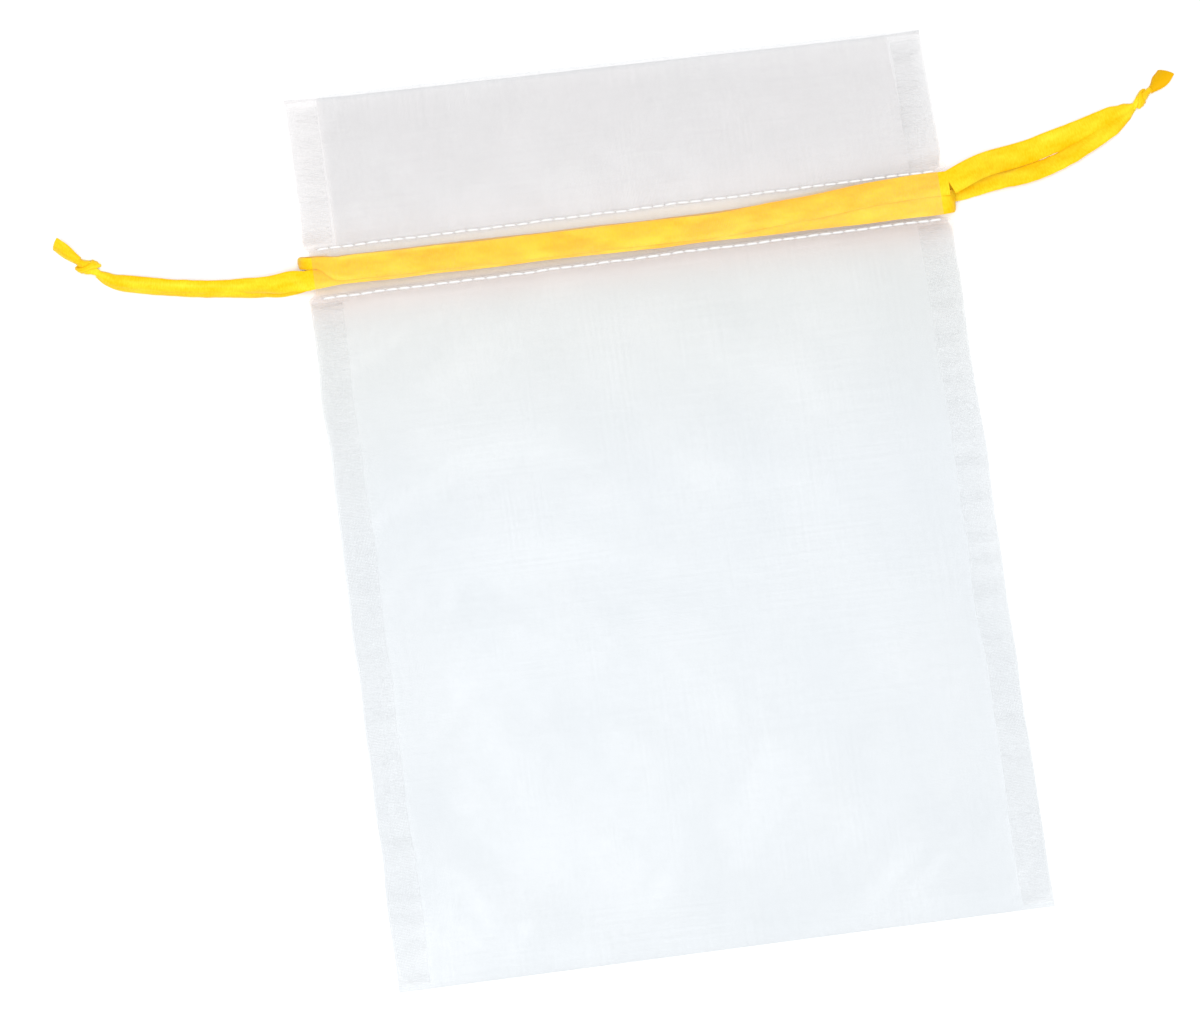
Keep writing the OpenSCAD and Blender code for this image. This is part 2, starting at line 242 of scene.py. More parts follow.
def settle_front():
    """Lets the front cloth, cut a little too large for its seams, buckle between them.
    Returns the change of height on the simulation grid, in millimetres."""
    xs, ys = sim_grid()
    x, y = np.meshgrid(xs, ys, indexing="ij")
    start = front_shape(x, y)
    noise = rng.uniform(-0.15, 0.15, x.shape)
    points = np.stack([x, y, start + noise], -1).reshape(-1, 3) * SIM_SCALE
    faces = grid_faces(SIM_COLUMNS, SIM_ROWS)
    mesh = bpy.data.meshes.new("settling_cloth")
    mesh.from_pydata(points.tolist(), [], faces)
    cloth = add_object("settling_cloth", mesh)
    held = cloth.vertex_groups.new(name="held")
    sewn = (np.abs(np.abs(y - CASING_Y) - HALF_CASING) < 1.2) | (np.abs(x) > HALF_W - 1)
    sewn |= (y < -HALF_L + 1) | (y > HALF_L - 1)
    held.add(np.flatnonzero(sewn.reshape(-1)).tolist(), 1.0, "REPLACE")
    solver = cloth.modifiers.new("settle", "CLOTH").settings
    solver.quality = 8
    solver.mass = 0.1
    solver.tension_stiffness = solver.compression_stiffness = 25
    solver.shear_stiffness = 10
    solver.bending_stiffness = 0.6
    solver.air_damping = 6
    solver.vertex_group_mass = "held"
    solver.shrink_min = solver.shrink_max = -0.016
    solver.use_pressure = True
    solver.uniform_pressure_force = 0.5
    solver.effector_weights.gravity = 0.1
    scene = bpy.context.scene
    for number in range(1, SIM_STEPS + 1):
        scene.frame_set(number)
    settled = cloth.evaluated_get(bpy.context.evaluated_depsgraph_get())
    co = np.zeros(len(points) * 3)
    settled.data.vertices.foreach_get("co", co)
    scene.frame_set(1)
    bpy.data.objects.remove(cloth)
    return co.reshape(x.shape + (3,))[..., 2] / SIM_SCALE - start


def cubic_weights(t):
    """Catmull-Rom weights of the four grid points around a place t between the middle two."""
    return [
        -0.5 * t + t**2 - 0.5 * t**3,
        1 - 2.5 * t**2 + 1.5 * t**3,
        0.5 * t + 2 * t**2 - 1.5 * t**3,
        -0.5 * t**2 + 0.5 * t**3,
    ]


def sample(grid, x, y):
    """Smooth value of a simulation grid at any places."""
    along = [np.clip(x / HALF_W, -1, 1), np.clip(y / HALF_L, -1, 1)]
    cell, weights = [], []
    for share, count in zip(along, grid.shape):
        place = (share + 1) / 2 * (count - 1)
        low = np.clip(np.floor(place), 0, count - 2).astype(int)
        cell.append(low)
        weights.append(cubic_weights(place - low))
    total = 0
    for i in range(4):
        for k in range(4):
            gi = np.clip(cell[0] + i - 1, 0, grid.shape[0] - 1)
            gk = np.clip(cell[1] + k - 1, 0, grid.shape[1] - 1)
            total = total + weights[0][i] * weights[1][k] * grid[gi, gk]
    return total


# ---------------------------------------------------------------- mesh helpers

def grid_faces(columns, rows):
    faces = []
    for i in range(columns - 1):
        for k in range(rows - 1):
            a = i * rows + k
            faces.append((a, a + rows, a + rows + 1, a + 1))
    return faces


def tube_faces(rings, around, closed=False):
    """Faces between rings of points. A closed tube runs back into its first ring, others are capped."""
    faces = []
    for k in range(rings if closed else rings - 1):
        for j in range(around):
            a, b = k * around + j, k * around + (j + 1) % around
            c, d = ((k + 1) % rings) * around + (j + 1) % around, ((k + 1) % rings) * around + j
            faces.append((a, b, c, d))
    if not closed:
        faces.append(tuple(range(around))[::-1])
        faces.append(tuple(range((rings - 1) * around, rings * around)))
    return faces


def join_meshes(meshes):
    points, faces, count = [], [], 0
    for more_points, more_faces in meshes:
        points.append(more_points)
        faces += [tuple(i + count for i in f) for f in more_faces]
        count += len(more_points)
    return np.concatenate(points), faces


def add_object(name, data):
    added = bpy.data.objects.new(name, data)
    bpy.context.scene.collection.objects.link(added)
    return added


def make_piece(name, points, faces, material, uv=None, normals=None, crisp=False):
    """Mesh object from points in millimetres. uv is one (across, along) pair a vertex, also in mm.
    A crisp piece keeps its cut edges sharp."""
    mesh = bpy.data.meshes.new(name)
    mesh.from_pydata((np.asarray(points) * MM).tolist(), [], faces)
    mesh.validate()
    mesh.polygons.foreach_set("use_smooth", [True] * len(mesh.polygons))
    if crisp:
        mesh.set_sharp_from_angle(angle=math.radians(55))
    if uv is not None:
        layer = mesh.uv_layers.new(name="cloth")
        corner = np.zeros(len(mesh.loops), int)
        mesh.loops.foreach_get("vertex_index", corner)
        layer.data.foreach_set("uv", np.asarray(uv)[corner].reshape(-1))
    mesh.materials.append(material)
    if normals is not None:
        mesh.normals_split_custom_set_from_vertices(normals.tolist())
    piece = add_object(name, mesh)
    return piece


def mark_cloth(piece, density, gaps_and_painted_light):
    """What the cloth's shader needs at each vertex. density is how much more thread there is than in plain
    cloth, and gaps_and_painted_light is the colour of the light that comes through between the threads,
    which near the ribbons also holds painted light and shade."""
    values = np.asarray(density, np.float32).reshape(-1)
    colours = np.broadcast_to(gaps_and_painted_light, (*np.shape(density), 3)).reshape(-1, 3)
    piece.data.attributes.new("density", "FLOAT", "POINT").data.foreach_set("value", values)
    colours = np.concatenate([colours, np.ones((len(colours), 1))], 1).astype(np.float32)
    piece.data.attributes.new("gaps_and_painted_light", "FLOAT_COLOR", "POINT").data.foreach_set("color", colours.reshape(-1))


def unit(v):
    return v / np.maximum(np.linalg.norm(v, axis=-1, keepdims=True), 1e-9)


def along_row(points):
    """Distance along a row of points from its first one."""
    return np.concatenate([[0], np.cumsum(np.linalg.norm(np.diff(points, axis=0), axis=-1))])


def spaced(stops):
    """(place, steps to the next place) pairs as one row of places."""
    row = [stops[0][0]]
    for (start, steps), (end, _) in zip(stops, stops[1:]):
        row += list(np.linspace(start, end, steps + 1)[1:])
    return np.array(row)


# ---------------------------------------------------------------- cloth panels

HALF_STATIONS = spaced([(0, 36), (0.84, 16), (1.0, 0)])
STATIONS = np.concatenate([-HALF_STATIONS[:0:-1], HALF_STATIONS])
MIDDLE = len(HALF_STATIONS) - 1
BODY_ROWS = spaced([(-HALF_L + 0.8, 80), (LOWER_Y - 3, 6), (LOWER_Y, 0)])
UPPER_ROWS = spaced([
    (LOWER_Y, 6), (LOWER_Y + 3, 4), (UPPER_Y - 3, 12), (UPPER_Y + 3, 16), (HALF_L - 1, 0),
])
HEM_ROWS = spaced([(LOWER_Y, 2), (LOWER_Y - HEM_TAIL, 0)])[1:]
SPLIT_ROW = 6 + len(BODY_ROWS) - 1


def panel_rows(outer, side):
    """y and z for every row of a panel, from the bottom fold to the hem. outer gives the height of the
    outer layer at (x, y); side is 1 for the front, -1 for the back."""
    def facing(x, y):
        return outer(x, y) - side * facing_step(y)

    u = STATIONS[:, None]
    x = u * HALF_W
    fold_r = 0.11 + 0.4 * crown_share(u)
    turn = np.radians(np.linspace(0, 80, 6))
    fold_y = -HALF_L + CLOTH_T / 2 + fold_r * (1 - np.cos(turn))
    fold_z = FOLD_Z + side * fold_r * np.sin(turn)
    ys, zs = [fold_y], [fold_z]
    up = np.concatenate([BODY_ROWS, UPPER_ROWS[1:]])[None, :] + 0 * u
    ys.append(up)
    zs.append(outer(x + 0 * up, up))
    mouth_r = (CLOTH_T + LAYER_GAP) / 2
    over = np.radians(np.linspace(20, 160, 6))
    outer_z, facing_z = outer(x, HALF_L + 0 * x), facing(x, HALF_L + 0 * x)
    ys.append(HALF_L - CLOTH_T / 2 - mouth_r * (1 - np.sin(over)) + 0 * u)
    zs.append((outer_z + facing_z) / 2 + (outer_z - facing_z) / 2 * np.cos(over))
    down = np.concatenate([UPPER_ROWS[::-1], HEM_ROWS])[None, :] + 0 * u
    ys.append(down)
    zs.append(facing(x + 0 * down, down))
    return np.concatenate(ys, 1), np.concatenate(zs, 1)


def panel_points(outer, side):
    y, z = panel_rows(outer, side)
    edge = np.where(STATIONS[:, None] < 0, half_width(-1, y), half_width(1, y))
    x = STATIONS[:, None] * edge
    across, along = sway(x, y, SLIPS[side])
    points = np.stack([x + across, y + along, z], -1)
    strip = along_row(points[MIDDLE])
    uv = np.stack(np.broadcast_arrays(STATIONS[:, None] * HALF_W, strip[None, :]), -1)
    return points, uv, y


def grid_normals(points, side):
    du = np.gradient(points, axis=0)
    dv = np.gradient(points, axis=1)
    return unit(np.cross(du, dv)) * side


def fold_density(x, y):
    """Thread seen edge on, or lying double: at the bottom fold, the mouth, the seams and the stitches. The
    extra thread at the stitches is partly painted light that hides the shade on the pinched cloth, and the
    extra thread between the lower stitches and the ribbon is painted light over the ribbons' shadow.
    """
    ends = np.exp(-(((y + HALF_L) / 1.3) ** 2)) + 0.6 * np.exp(-(((y - HALF_L) / 0.8) ** 2))
    sides = 0.8 * edge_share(x, 1.2)
    # Partly painted light: bunched cloth at the stitches, made thick enough to hide the shade on the pinched
    # cloth.
    sewn = 3.5 * np.exp(-(((np.abs(y - CASING_Y) - HALF_CASING) / 0.5) ** 2))
    low = left_centre(x, 0) - left_width(x) / 2
    # Painted light: extra white thread lightens the ribbons' shadow between the lower stitches and the
    # ribbon.
    painted_light_below_ribbon = 3.2 * smooth((y - LOWER_Y) / 0.4) * smooth((low - y + 0.3) / 0.4)
    return ends + sides + sewn + painted_light_below_ribbon - 0.4 * over_ribbon(y)


def over_ribbon(y):
    """1 where the cloth lies taut on the ribbons and its threads hardly catch the light."""
    return 1 - smooth((np.abs(y - CASING_Y) - HALF_CASING + 1.2) / 1.0)


def painted_ribbon_light(x, y):
    """Painted light round the ribbons: a warm glow on the cloth beside them, stronger below them, as if
    thrown by the yellow ribbons; over them the cloth takes their colour, painted lighter at their lower edge
    and painted shade towards their upper edge.
    """
    low, high = left_centre(x, 0) - left_width(x) / 2, right_centre(x, 0) + RIBBON_W / 2
    share = ((y - low) / (high - low))[..., None]
    beside = mix(GAPS_PAINTED_GLOW_BELOW_RIBBONS, GAPS_PAINTED_GLOW_ABOVE_RIBBONS, smooth(share * 3))
    on_ribbon = smooth((y - low) / 0.5) * smooth((high - y) / 0.5)
    return mix(beside, mix(GAPS_OVER_RIBBON_LOWER_PAINTED_LIGHT, GAPS_OVER_RIBBON_UPPER_PAINTED_SHADE, smooth(share)), on_ribbon[..., None])


def gap_colours(x, y, side):
    """Light between the threads: bluish at the bottom, warmer and darker up to the casing, grey in the
    header, and paler along the sides, where the seam allowances lie behind the cloth. Next to the casing it
    holds painted light: paler just above it, and a warm pink glow just below it, as if from the yellow
    ribbons. On the front over the casing it takes the painted light and shade of painted_ribbon_light. The
    facing, at the end of each row of points, is clear, and so is the back of the casing."""
    body = mix(GAPS_LOW, GAPS_TOP, smooth((y + 5) / 50)[..., None])
    colours = np.where((y > LOWER_Y)[..., None], GAPS_HEADER, body)
    paler = np.where(y > LOWER_Y, np.where(x < 0, 0.5, 0.15), 0.06)
    backed = smooth(np.abs(x) - HALF_W + SEAM_W + 1.3) * paler
    beside = np.abs(y - CASING_Y) - HALF_CASING
    near = np.exp(-((np.maximum(beside, 0) / 4.5) ** 2))[..., None]
    # Painted light near the casing: paler above it, and a warm pink glow from the ribbons below it.
    glow = np.where((y > CASING_Y)[..., None], mix(colours, GAPS_CLEAR, 0.3), mix(colours, GAPS_PAINTED_RIBBON_GLOW, 0.2))
    colours = mix(mix(colours, glow, near), GAPS_CLEAR, backed[..., None])
    # Painted glow beside the ribbons, and painted light and shade over them, on the front only.
    casing = painted_ribbon_light(x, y) if side > 0 else GAPS_CLEAR
    colours = mix(colours, casing, over_ribbon(y)[..., None])
    colours[:, -len(UPPER_ROWS) - len(HEM_ROWS):] = GAPS_CLEAR
    return colours


def make_panel(name, outer, side, material):
    """Four sheets: body and header, left and right. The front's facing leaves out the header's seam
    allowances, so that the light never has more layers to pass than the renderer follows."""
    points, uv, rest_y = panel_points(outer, side)
    normals = grid_normals(points, side)
    rest_x = STATIONS[:, None] * HALF_W + 0 * rest_y
    density = fold_density(rest_x, rest_y)
    gaps_and_painted_light = gap_colours(rest_x, rest_y, side)
    last = points.shape[1] - 1
    inner_edge = HALF_W - SEAM_W - np.where(rest_x > 0, FACING_STOP[1], FACING_STOP[-1])
    in_allowance = (np.abs(rest_x) > inner_edge) & (rest_y > UPPER_Y) & (rest_y < HALF_L - 0.9)
    in_allowance[:, :-len(UPPER_ROWS) - len(HEM_ROWS)] = False
    pieces = {}
    for part, rows in (("body", (0, SPLIT_ROW)), ("header", (SPLIT_ROW, last))):
        for hand, columns in (("left", (0, MIDDLE)), ("right", (MIDDLE, 2 * MIDDLE))):
            cut = (slice(columns[0], columns[1] + 1), slice(rows[0], rows[1] + 1))
            block = points[cut]
            faces = grid_faces(*block.shape[:2])
            if side > 0:
                faces = [f for f in faces if not in_allowance[cut].reshape(-1)[list(f)].all()]
            else:
                faces = [f[::-1] for f in faces]
            piece = make_piece(
                f"{name}_{part}_{hand}", block.reshape(-1, 3), faces, material,
                uv=uv[cut].reshape(-1, 2), normals=normals[cut].reshape(-1, 3),
            )
            mark_cloth(piece, density[cut], gaps_and_painted_light[cut])
            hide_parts(name)
            pieces[part, hand] = piece
    return pieces


def gather(piece, part, hand):
    """Bakes the piece's placement into its mesh."""
    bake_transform(piece)


# ---------------------------------------------------------------- seams and stitches

def make_side_seam(hand, part, back_outer, material):
    """Seam allowances turned inwards: two layers from the side seam in, puckered by their stitching."""
    side = SIDES[hand]
    low, high, floor = {
        "body": (-HALF_L + 1.2, LOWER_Y - 1.5, CLOTH_T),
        "header": (UPPER_Y + 0.6, HALF_L - 2, 2 * CLOTH_T + LAYER_GAP),
    }[part]
    rows = np.linspace(low, high, max(8, int((high - low) / 1.2)))
    columns = np.linspace(0, 1, 9)
    v, y = np.meshgrid(columns, rows, indexing="ij")
    width = SEAM_W + 0.2 * wobble(y, 40, 21 + side)
    x = side * (HALF_W - 0.35 - v * width)
    lift = 0.16 + (0.15 + 0.3 * v) * (1 + 0.5 * wobble(y, 6.5, 23 + side))
    z = back_outer(x, y) + floor * 0.6 + np.clip(lift, 0.05, 0.9)
    across, along = sway(x, y)
    points = np.stack([x + across, y + along, z], -1).reshape(-1, 3)
    faces = grid_faces(len(columns), len(rows))
    if side > 0:
        faces = [f[::-1] for f in faces]
    uv = np.stack([x, y], -1).reshape(-1, 2)
    node = f"{hand}_{part}_seam"
    piece = make_piece(node + "_allowance", points, faces, material, uv=uv)
    smudges = np.clip(wobble(y + 3 * v, 13, 27 + side), 0, 1) * (1 - v)
    ends = 1 - smooth(np.minimum(y - low, high - y) / 2)
    mark_cloth(piece, 0.1 + 0.6 * smudges - 0.5 * np.maximum(smooth((v - 0.3) / 0.6), ends), GAPS_SEAM)
    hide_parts(node)
    return piece


def thread_tube(path, radius, around=6):
    """Points and faces of a round thread along a path, with tapered ends."""
    path = np.asarray(path, float)
    along = unit(np.gradient(path, axis=0))
    sideways = unit(np.cross(along, [0, 0, 1]))
    up = np.cross(sideways, along)
    taper = np.ones(len(path))
    taper[[0, -1]] = 0.45
    turn = np.linspace(0, 2 * np.pi, around, endpoint=False)
    ring = np.cos(turn)[None, :, None] * sideways[:, None] + np.sin(turn)[None, :, None] * up[:, None]
    points = (path[:, None] + ring * (radius * taper)[:, None, None]).reshape(-1, 3)
    return points, tube_faces(len(path), around)


def stitch_row(node, hand, y, height, side, material):
    """Half a row of lock stitches, each one a short thread that dips into the cloth at both ends."""
    pitch, gap, radius = 2.5, 0.08, 0.23
    count = int((HALF_W - 2.2) / pitch)
    tubes = []
    for i in range(count):
        t = np.linspace(gap / 2, pitch - gap / 2, 6)
        x = SIDES[hand] * (i * pitch + t)
        wave = 0.05 * wobble(x, 11, 31)
        across, along = sway(x, y + 0 * x, SLIPS[side])
        dip = 0.16 * np.abs(2 * (t - t[0]) / (t[-1] - t[0]) - 1) ** 3
        z = height(x, y + 0 * x) + side * (0.14 - dip)
        tubes.append(thread_tube(np.stack([x + across, y + along + wave, z], -1), radius))
    points, faces = join_meshes(tubes)
    piece = make_piece(f"{node}_{hand}", points, faces, material)
    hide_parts(node)
    return piece


def overlock(hand, part, seam, material):
    """Zigzag thread over the inner edge of the seam allowances."""
    co = np.array([v.co for v in seam.data.vertices]).reshape(9, -1, 3) / MM
    inner, outer = co[8], co[2]
    count = int((inner[-1, 1] - inner[0, 1]) / 1.4)
    rows = np.linspace(0, len(inner) - 1.001, 2 * count)
    low = rows.astype(int)
    t = (rows - low)[:, None]
    inner, outer = (edge[low] * (1 - t) + edge[low + 1] * t for edge in (inner, outer))
    path = np.where((np.arange(2 * count) % 2)[:, None] == 0, inner, outer)
    path = path + np.array([-SIDES[hand] * 0.05, 0, 0.16])
    points, faces = thread_tube(path, 0.03, around=4)
    return make_piece(f"{hand}_{part}_overlock", points, faces, material)


# ---------------------------------------------------------------- ribbons

def keyed(keys, t):
    """Smooth value at shares t of the length, from a few (share, value) keys."""
    shares, values = zip(*keys)
    t = np.asarray(t)
    place = np.clip(np.searchsorted(shares, t, side="right") - 1, 0, len(keys) - 2)
    shares, values = np.array(shares), np.array(values, float)
    local = smooth((t - shares[place]) / (shares[place + 1] - shares[place]))
    return mix(values[place], values[place + 1], local)


def curve(route, count):
    """Evenly spaced points on a smooth curve through a route."""
    route = np.asarray(route, float)
    padded = np.concatenate([[2 * route[0] - route[1]], route, [2 * route[-1] - route[-2]]])
    fine = []
    for i in range(len(route) - 1):
        for t in np.linspace(0, 1, 12, endpoint=False):
            fine.append(sum(w * p for w, p in zip(cubic_weights(t), padded[i:i + 4])))
    fine = np.array(fine + [route[-1]])
    length = along_row(fine)
    even = np.linspace(0, length[-1], count)
    return np.stack([np.interp(even, length, fine[:, i]) for i in range(3)], -1), even


def ribbon_mesh(path, across, crown, width, bend, length, ripple, seed, shiny=1):
    """A thin single-faced satin ribbon along a path. across points over its width. Its section bends
    through an angle, in radians, with its crown on the side of across x along, or on the other side
    where crown is -1. shiny is 1 where the crown is the satin face, and -1 where it is the dull one."""
    columns = 11
    share = np.linspace(-1, 1, columns)
    along = unit(np.gradient(path, axis=0))
    across = unit(across - np.sum(across * along, -1, keepdims=True) * along)
    up = crown * np.cross(across, along)
    bend = np.maximum(np.asarray(bend) + 0 * length, 0.02)[:, None]
    radius = (np.asarray(width) + 0 * length)[:, None] / bend
    angle = share[None, :] * bend / 2
    sag = radius * (np.cos(bend / 2) + 0 * angle)
    from_ends = smooth(np.minimum(length, length[-1] - length) / 6)[:, None]
    crease = ripple * from_ends * wobble(length[:, None] + 1.1 * share[None, :], 4.2, seed)
    sides = []
    for layer in (0.5, -0.5):
        r = radius + layer * RIBBON_T * np.sqrt(np.clip(1.02 - share[None, :] ** 8, 0.02, 1))
        flat = r * np.sin(angle)
        rise = r * np.cos(angle) - sag / 2 - radius / 2 + crease
        sides.append(path[:, None] + flat[..., None] * across[:, None] + rise[..., None] * up[:, None])
    ring = np.concatenate([sides[0], sides[1][:, ::-1]], 1)
    faces = tube_faces(*ring.shape[:2])
    if crown < 0:
        faces = [f[::-1] for f in faces]
    dull = np.repeat([0.0, DULL_SIDE] if shiny > 0 else [DULL_SIDE, 0.0], columns)
    over = np.concatenate([share, share[::-1]]) * RIBBON_W / 2 + dull
    uv = np.stack(np.broadcast_arrays(over[None, :], length[:, None]), -1).reshape(-1, 2)
    return ring.reshape(-1, 3), faces, uv


def casing_strands(side, front_z, back_z, centre, width, turn_x):
    """Path of a drawstring inside the casing: along the front, round the far edge, back along the
    back. side is the side of the far edge. centre depends on x and the strand, width on x."""
    mid_r = (front_z - back_z) / 2
    far = turn_x - mid_r
    out = np.linspace(-HALF_W, far, 110)
    turn = np.radians(np.linspace(90, -90, 22))[1:-1]
    x = np.concatenate([out, far + mid_r * np.cos(turn), out[::-1]])
    z = np.concatenate([0 * out + front_z, back_z + mid_r + mid_r * np.sin(turn), 0 * out + back_z])
    strand = np.concatenate([0 * out, (1 - np.sin(turn)) / 2, 0 * out + 1])
    x = side * x
    y = centre(x, strand) - SLIPS[1] * (1 - strand)
    return np.stack([x, y, z], -1), width(x)


def on_loop_way(x):
    """1 along the left ribbon where the right one's loop passes it as both slide, 0 beyond."""
    return 1 - smooth((x - 19) / 12)


def left_centre(x, strand):
    at_exit = 1 - smooth((x + HALF_W) / 8)
    straight = LEFT_Y - GATHERED * on_loop_way(x) - (mix(1.0, 1.4, strand) - GATHERED) * at_exit
    return straight + 0.08 * wobble(x + 40 * strand, 31, 61)


def left_width(x):
    """The upper edge is gathered out of the way of the right ribbon's loop; the lower edge is straight."""
    at_exit, at_turn = 1 - smooth((x + HALF_W) / 8), smooth((x - HALF_W + 5) / 5)
    gathered = 2 * GATHERED * on_loop_way(x) - 0.8 * at_exit
    return RIBBON_W - gathered - 0.3 * at_turn + 0.05 * wobble(x, 17, 62)


def past_loop(x):
    return smooth((x + HALF_W - 2) / 5)


def right_centre(x, strand):
    exit_y = mix(58.0, 56.3, strand)
    inside = mix(54.8, exit_y, smooth((x - 12) / 50))
    return mix(LOOP_Y, inside, past_loop(x)) + 0.08 * wobble(x + 35 * strand, 27, 63)


def right_width(x):
    return mix(LOOP_W, RIBBON_W - 0.05, past_loop(x))


def make_drawstring(name, side, levels, centre, width, material):
    back_z, front_z = levels
    path, widths = casing_strands(side, front_z, back_z, centre, width, HALF_W + 1.15)
    length = along_row(path)
    across = np.tile([0.0, 1.0, 0.0], (len(path), 1))
    turning = smooth((side * path[:, 0] - HALF_W + 2.5) / 3)
    bend = np.radians(mix(7, 50, turning))
    points, faces, uv = ribbon_mesh(path, across, -side, widths, bend, length, 0.05, 64 + side)
    piece = make_piece(name + "_in_casing", points, faces, material, uv=uv, crisp=True)
    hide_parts(name)
    return piece


# Free strands: the CAD's routes from the way out of the casing to the knot. At shares of the length they
# have a lean to the side and a bend across (degrees), a width, and how far aside of the route they lie.
# rest is the height that their lower edge rests at: on the table, or on the other strand.
STRANDS = {
    "left_pull_front": dict(
        route=[(-65, 53.7, 7.075), (-68, 53.3, 6.7), (-71, 53, 5.5), (-74, 52.8, 4.1), (-77, 52.8, 2.8),
               (-80, 52.9, 1.7), (-84, 53.2, 0.95), (-88, 53.7, 0.8), (-92, 54.3, 0.75),
               (-96, 55.1, 0.75), (-100, 56, 0.8), (-103, 57.1, 0.95), (-105.9, 59.1, 1.4)],
        lean=[(0, 0), (0.12, 20), (0.25, 42), (0.6, 50), (0.86, 44), (0.95, 22), (1, 5)],
        bend=[(0, 7), (0.1, 60), (0.22, 125), (0.35, 150), (0.8, 155), (0.93, 175), (1, 200)],
        width=[(0, 4.1), (0.15, 4.3), (0.35, 4.4), (0.85, 4.5), (0.95, 3.4), (1, 1.9)],
        aside=[(0, -2.45), (0.1, -1.5), (0.35, -0.2), (1, 0)], rest=0.75,
    ),
    "left_pull_back": dict(
        route=[(-65, 53.7, 0.925), (-68, 52.9, 0.6), (-71, 52.2, 0.35), (-75, 51.8, 0.2), (-80, 52, 0.2),
               (-84, 52.4, 0.2), (-88, 52.9, 0.2), (-92, 53.6, 0.2), (-96, 54.4, 0.2),
               (-100, 55.5, 0.2), (-103, 56.7, 0.4), (-105.9, 58.9, 0.95)],
        lean=[(0, 0), (0.12, 20), (0.25, 42), (0.6, 48), (0.86, 42), (0.95, 20), (1, 5)],
        bend=[(0, 7), (0.1, 60), (0.22, 130), (0.35, 165), (0.8, 170), (0.93, 185), (1, 200)],
        width=[(0, 4.1), (0.15, 4.3), (0.35, 4.3), (0.85, 4.4), (0.95, 3.2), (1, 1.9)],
        aside=[(0, -0.85), (0.2, -0.2), (0.4, 0.2), (0.7, 0.3), (1, 0)], rest=0.1,
    ),
    "right_pull_front": dict(
        route=[(65, 56.3, 7.525), (68, 57.6, 7.2), (71, 58.9, 6.1), (74, 60, 4.7), (77, 60.8, 3.3),
               (80, 61.5, 2.2), (84, 62.4, 1.3), (88, 63.5, 0.9), (92, 64.5, 0.75), (96, 65.6, 0.75),
               (100, 66.7, 0.85), (103, 67.6, 1), (106.4, 69.1, 1.5)],
        lean=[(0, 0), (0.2, 14), (0.5, 22), (0.75, 30), (0.92, 32), (1, 10)],
        bend=[(0, 7), (0.2, 35), (0.5, 45), (0.84, 60), (0.95, 130), (1, 200)],
        width=[(0, 5), (0.88, 5), (0.96, 3.8), (1, 1.9)],
        aside=[(0, -0.3), (0.2, -0.2), (0.7, -0.2), (1, 0)], rest=0.4,
    ),
    "right_pull_back": dict(
        route=[(65, 56.3, 0.475), (68, 56, 0.35), (72, 56.2, 0.2), (76, 56.7, 0.2), (80, 57.2, 0.2),
               (84, 57.9, 0.2), (88, 58.9, 0.2), (92, 60.3, 0.2), (96, 62.1, 0.2), (100, 64.2, 0.2),
               (103, 66.2, 0.4), (106.4, 68.8, 0.95)],
        lean=[(0, 0), (0.14, -16), (0.3, -28), (0.6, -34), (0.8, -34), (0.92, -24), (1, -5)],
        bend=[(0, 7), (0.15, 30), (0.35, 50), (0.75, 75), (0.92, 150), (1, 200)],
        width=[(0, 4.8), (0.2, 5), (0.85, 5), (0.95, 3.4), (1, 1.9)],
        aside=[(0, 0), (0.2, 0.5), (0.4, 0.1), (0.8, 0.5), (1, 0)], rest=0.1,
    ),
}


def leaning(path, lean):
    """Directions over a ribbon's width: sideways towards the mouth, tipped up by lean radians."""
    along = unit(np.gradient(path, axis=0))
    flat = unit(np.stack([-along[:, 1], along[:, 0], 0 * along[:, 0]], -1))
    flat *= np.where(flat[:, 1:2] < 0, -1, 1)
    up = np.array([0.0, 0.0, 1.0])
    return flat * np.cos(lean)[:, None] + up * np.sin(lean)[:, None]


def settle_ribbon(points, rows, rest):
    """Lifts the sections of a ribbon that would lie below what it rests on."""
    low = points.reshape(rows, -1, 3)[..., 2].min(1)
    lift = np.convolve(np.pad(np.maximum(0, rest - low), 6, mode="edge"), np.ones(13) / 13, mode="valid")
    points = points + np.repeat(lift, len(points) // rows)[:, None] * [0, 0, 1]
    points[:, 2] = np.maximum(points[:, 2], LOWEST)
    return points


def make_strand(name, material):
    spec = STRANDS[name]
    crown = 1 if name.startswith("left") else -1
    path, length = curve(spec["route"], 90)
    share = length / length[-1]
    lean, bend = (np.radians(keyed(spec[key], share)) for key in ("lean", "bend"))
    width, aside = (keyed(spec[key], share) for key in ("width", "aside"))
    across = leaning(path, lean)
    middle = path + aside[:, None] * leaning(path, 0 * lean)
    points, faces, uv = ribbon_mesh(middle, across, crown, width, bend, length, 0.05, len(name))
    points = settle_ribbon(points, len(path), spec["rest"])
    piece = make_piece(name + "_strand", points, faces, material, uv=uv, crisp=True)
    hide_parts(name)
    return piece, path, length[-1]


# ---------------------------------------------------------------- knots and tails

